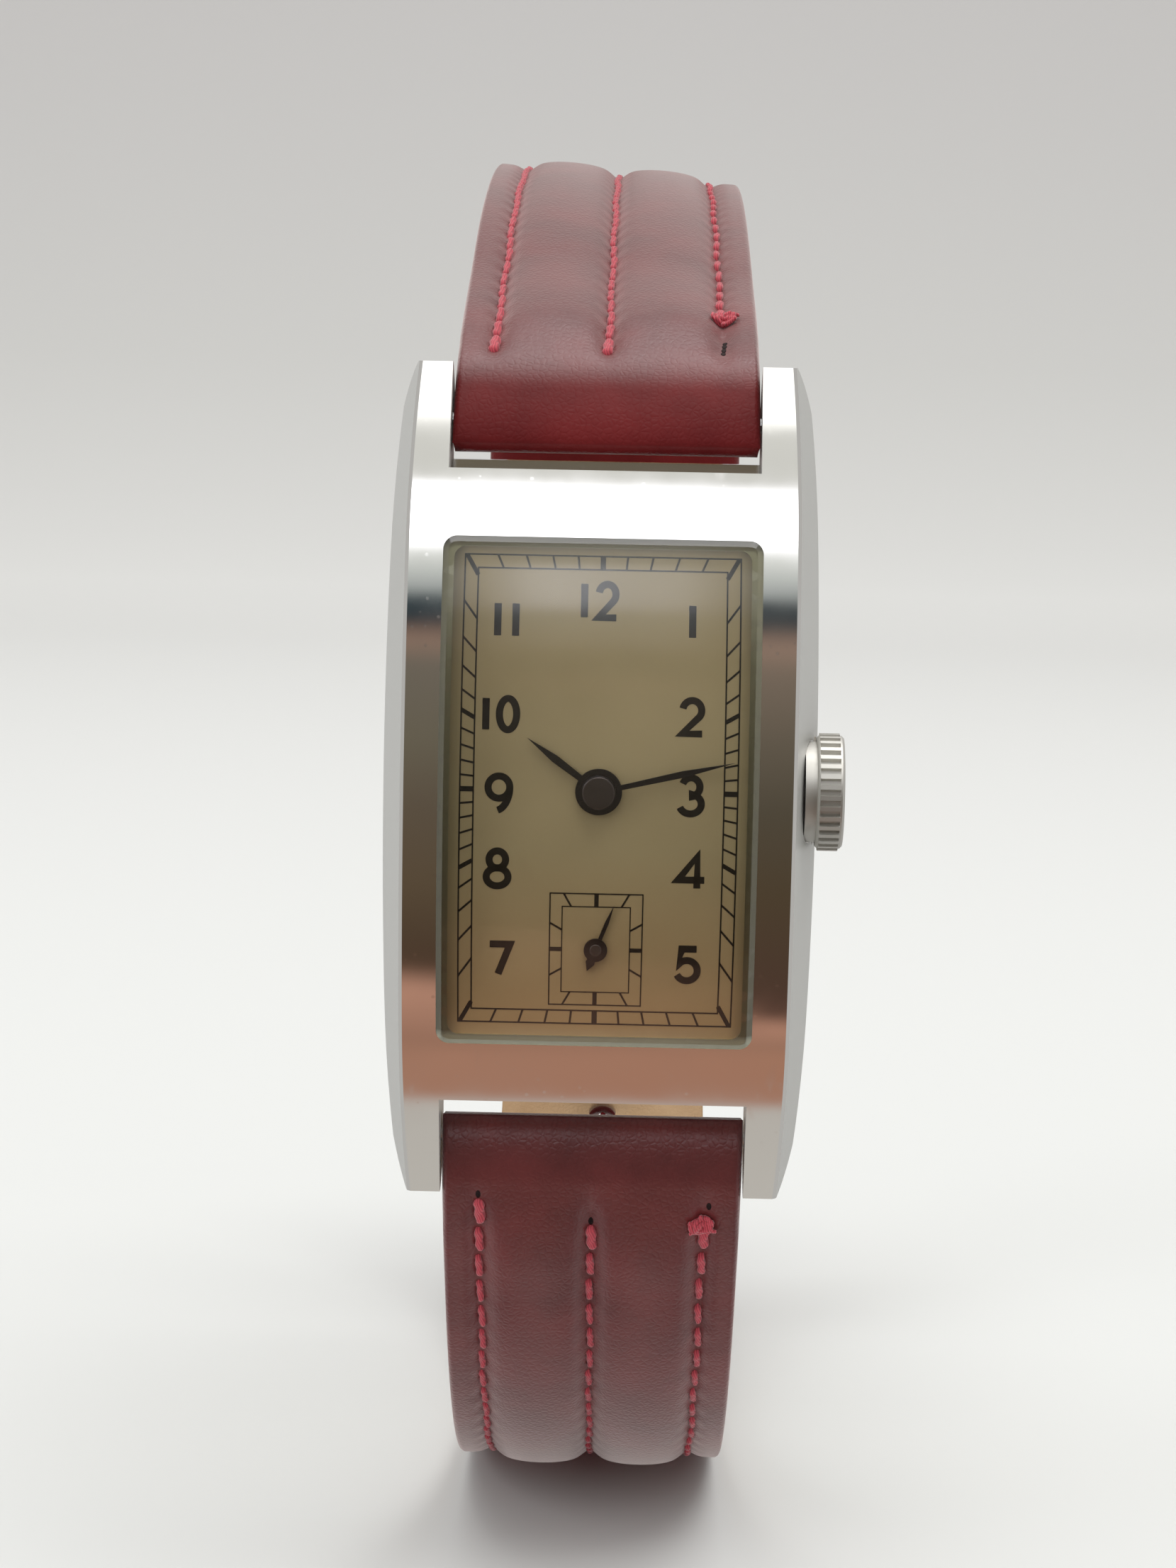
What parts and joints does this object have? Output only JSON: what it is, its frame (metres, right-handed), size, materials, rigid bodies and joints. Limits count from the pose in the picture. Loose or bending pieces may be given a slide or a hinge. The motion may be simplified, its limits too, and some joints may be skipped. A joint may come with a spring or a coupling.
{
  "type": "wristwatch",
  "caption": "Rectangular mechanical wristwatch with a curved case, numeral dial, small seconds, side crown and a padded two-piece leather strap, unbuckled",
  "frame": {"origin": "centre of the flat outer face of the case back, on the axis of the hands", "axes": "+Z towards 12 o'clock, +X towards 3 o'clock and the crown, +Y out of the case back towards the wrist, so the dial faces -Y"},
  "size_m": [0.0239, 0.0858, 0.0781],
  "materials": {
    "case_metal": "brushed",
    "crystal": "gloss",
    "dial": "satin",
    "plate": "satin",
    "wheel_brass": "satin",
    "steel": "polished",
    "blued_steel": "gloss",
    "jewel": "gloss",
    "leather": "satin",
    "lining": "matte",
    "buckle_steel": "polished"
  },
  "bodies": {
    "watch": {"case_body": "case_metal", "case_back": "case_metal", "crystal": "crystal", "crown_tube": "case_metal", "dial": "dial", "main_plate": "plate", "barrel_bridge": "plate", "train_bridge": "plate", "balance_cock": "plate", "pallet_cock": "plate", "bridge_screws": "blued_steel", "jewels": "jewel", "hairspring": "blued_steel", "click_spring": "steel", "setting_lever_spring": "steel", "upper_spring_bar": "steel", "lower_spring_bar": "steel"},
    "minute_work": {"centre_wheel": "wheel_brass", "cannon_pinion": "steel", "minute_hand": "blued_steel"},
    "hour_work": {"hour_wheel": "wheel_brass", "hour_hand": "blued_steel"},
    "minute_wheel": {"minute_wheel": "wheel_brass"},
    "third_wheel": {"third_wheel": "wheel_brass"},
    "seconds_work": {"fourth_wheel": "wheel_brass", "seconds_hand": "blued_steel"},
    "escape_wheel": {"escape_wheel": "steel"},
    "barrel": {"barrel_drum": "wheel_brass", "barrel_cover": "wheel_brass", "mainspring": "steel"},
    "barrel_arbor": {"barrel_arbor": "steel", "ratchet_wheel": "steel"},
    "crown_wheel": {"crown_wheel": "steel"},
    "winding_pinion": {"winding_pinion": "steel"},
    "crown_and_stem": {"winding_stem": "steel", "crown": "case_metal"},
    "sliding_clutch": {"sliding_clutch": "steel"},
    "setting_lever": {"setting_lever": "steel"},
    "yoke": {"yoke": "steel"},
    "setting_wheel": {"setting_wheel": "steel"},
    "click": {"click": "steel"},
    "regulator": {"regulator": "steel"},
    "pallet_fork": {"pallet_fork": "steel"},
    "balance": {"balance_wheel": "wheel_brass", "balance_staff": "steel"},
    "upper_pin_right": {"upper_bar_pin_right": "steel"},
    "upper_pin_left": {"upper_bar_pin_left": "steel"},
    "lower_pin_right": {"lower_bar_pin_right": "steel"},
    "lower_pin_left": {"lower_bar_pin_left": "steel"},
    "upper_strap_half": {"upper_strap": "leather", "upper_strap_lining": "lining", "fixed_keeper": "leather"},
    "lower_strap_half": {"lower_strap": "leather", "lower_strap_lining": "lining"},
    "buckle": {"buckle_frame": "buckle_steel", "buckle_bar": "buckle_steel"},
    "tongue": {"buckle_tongue": "buckle_steel"},
    "free_keeper": {"free_keeper": "leather"}
  },
  "joints": [
    {"name": "seconds_turn", "type": "hinge", "parent": "watch", "child": "seconds_work", "pos_m": [0, -0.003, -0.0081], "axis": [0, -1, 0], "continuous": true},
    {"name": "minute_turn", "type": "hinge", "parent": "watch", "child": "minute_work", "pos_m": [0, -0.003, 0], "axis": [0, -1, 0], "continuous": true},
    {"name": "hour_turn", "type": "hinge", "parent": "watch", "child": "hour_work", "pos_m": [0, -0.0045, 0], "axis": [0, -1, 0], "continuous": true},
    {"name": "minute_wheel_turn", "type": "hinge", "parent": "watch", "child": "minute_wheel", "pos_m": [0.00115, -0.0042, -0.00211], "axis": [0, -1, 0], "continuous": true},
    {"name": "third_wheel_turn", "type": "hinge", "parent": "watch", "child": "third_wheel", "pos_m": [-0.0032, -0.003, -0.0046], "axis": [0, -1, 0], "continuous": true},
    {"name": "escape_wheel_turn", "type": "hinge", "parent": "watch", "child": "escape_wheel", "pos_m": [0.0033, -0.003, -0.0101], "axis": [0, -1, 0], "continuous": true},
    {"name": "barrel_turn", "type": "hinge", "parent": "watch", "child": "barrel", "pos_m": [0.0012, -0.003, 0.00645], "axis": [0, -1, 0], "continuous": true},
    {"name": "setting_wheel_turn", "type": "hinge", "parent": "watch", "child": "setting_wheel", "pos_m": [0.00274, -0.0039, 0], "axis": [0, -1, 0], "continuous": true},
    {"name": "crown_turn", "type": "hinge", "parent": "watch", "child": "winding_pinion", "pos_m": [0.0072, -0.00305, 0], "axis": [1, 0, 0], "continuous": true},
    {"name": "crown_wheel_turn", "type": "hinge", "parent": "watch", "child": "crown_wheel", "pos_m": [0.0044, -0.0016, 0], "axis": [0, -1, 0], "continuous": true},
    {"name": "ratchet_turn", "type": "hinge", "parent": "watch", "child": "barrel_arbor", "pos_m": [0.0012, -0.0016, 0.00645], "axis": [0, -1, 0], "continuous": true},
    {"name": "crown_pull", "type": "slide", "parent": "winding_pinion", "child": "crown_and_stem", "axis": [1, 0, 0], "range_m": [0, 0.0008]},
    {"name": "clutch_slide", "type": "slide", "parent": "winding_pinion", "child": "sliding_clutch", "axis": [1, 0, 0], "range_m": [-0.0004, 0]},
    {"name": "setting_lever_swing", "type": "hinge", "parent": "watch", "child": "setting_lever", "pos_m": [0.0083, -0.0041, 0.0025], "axis": [0, -1, 0], "range_deg": [0, 19]},
    {"name": "yoke_swing", "type": "hinge", "parent": "watch", "child": "yoke", "pos_m": [0.0051, -0.0041, -0.0032], "axis": [0, -1, 0], "range_deg": [0, 6.5]},
    {"name": "click_swing", "type": "hinge", "parent": "watch", "child": "click", "pos_m": [-0.00472, -0.0016, 0.0086], "axis": [0, -1, 0], "range_deg": [-10, 0], "stiffness_Nm_per_rad": 0.0002, "springref_deg": 11.46},
    {"name": "regulator_swing", "type": "hinge", "parent": "watch", "child": "regulator", "pos_m": [0.00475, -0.0014, -0.005], "axis": [0, -1, 0], "range_deg": [-25, 25]},
    {"name": "pallet_swing", "type": "hinge", "parent": "watch", "child": "pallet_fork", "pos_m": [0.00394, -0.0032, -0.00784], "axis": [0, -1, 0], "range_deg": [-5, 5]},
    {"name": "balance_swing", "type": "hinge", "parent": "watch", "child": "balance", "pos_m": [0.00475, -0.0026, -0.005], "axis": [0, -1, 0], "range_deg": [-270, 270], "stiffness_Nm_per_rad": 0.00000025},
    {"name": "upper_pin_right_slide", "type": "slide", "parent": "watch", "child": "upper_pin_right", "axis": [1, 0, 0], "range_m": [-0.0014, 0], "stiffness_N_per_m": 400, "springref_m": 0.001},
    {"name": "upper_pin_left_slide", "type": "slide", "parent": "watch", "child": "upper_pin_left", "axis": [1, 0, 0], "range_m": [0, 0.0014], "stiffness_N_per_m": 400, "springref_m": -0.001},
    {"name": "lower_pin_right_slide", "type": "slide", "parent": "watch", "child": "lower_pin_right", "axis": [1, 0, 0], "range_m": [-0.0014, 0], "stiffness_N_per_m": 400, "springref_m": 0.001},
    {"name": "lower_pin_left_slide", "type": "slide", "parent": "watch", "child": "lower_pin_left", "axis": [1, 0, 0], "range_m": [0, 0.0014], "stiffness_N_per_m": 400, "springref_m": -0.001},
    {"name": "upper_strap_swing", "type": "hinge", "parent": "watch", "child": "upper_strap_half", "pos_m": [0, -0.001, 0.0188], "axis": [1, 0, 0], "range_deg": [-6, 60]},
    {"name": "lower_strap_swing", "type": "hinge", "parent": "watch", "child": "lower_strap_half", "pos_m": [0, -0.001, -0.0188], "axis": [1, 0, 0], "range_deg": [-60, 6]},
    {"name": "buckle_swing", "type": "hinge", "parent": "upper_strap_half", "child": "buckle", "pos_m": [0, 0.05539, 0.00253], "axis": [1, 0, 0], "range_deg": [-40, 40]},
    {"name": "tongue_swing", "type": "hinge", "parent": "buckle", "child": "tongue", "pos_m": [0, 0.05539, 0.00253], "axis": [1, 0, 0], "range_deg": [0, 75]},
    {"name": "free_keeper_slide", "type": "slide", "parent": "upper_strap_half", "child": "free_keeper", "axis": [0, 0, 1], "range_m": [0, 0.0006]}
  ],
  "couplings": [
    {"joint": "minute_turn", "follows": "seconds_turn", "ratio": 0.016667},
    {"joint": "hour_turn", "follows": "seconds_turn", "ratio": 0.0013889},
    {"joint": "minute_wheel_turn", "follows": "seconds_turn", "ratio": -0.0055556},
    {"joint": "third_wheel_turn", "follows": "seconds_turn", "ratio": -0.13333},
    {"joint": "escape_wheel_turn", "follows": "seconds_turn", "ratio": -10},
    {"joint": "barrel_turn", "follows": "seconds_turn", "ratio": -0.0023148},
    {"joint": "setting_wheel_turn", "follows": "seconds_turn", "ratio": 0.011905},
    {"joint": "crown_wheel_turn", "follows": "crown_turn", "ratio": 0.45455},
    {"joint": "ratchet_turn", "follows": "crown_turn", "ratio": -0.27778},
    {"joint": "clutch_slide", "follows": "crown_pull", "ratio": -0.4},
    {"joint": "setting_lever_swing", "follows": "crown_pull", "rad_per_m": 400},
    {"joint": "yoke_swing", "follows": "crown_pull", "rad_per_m": 125}
  ]
}
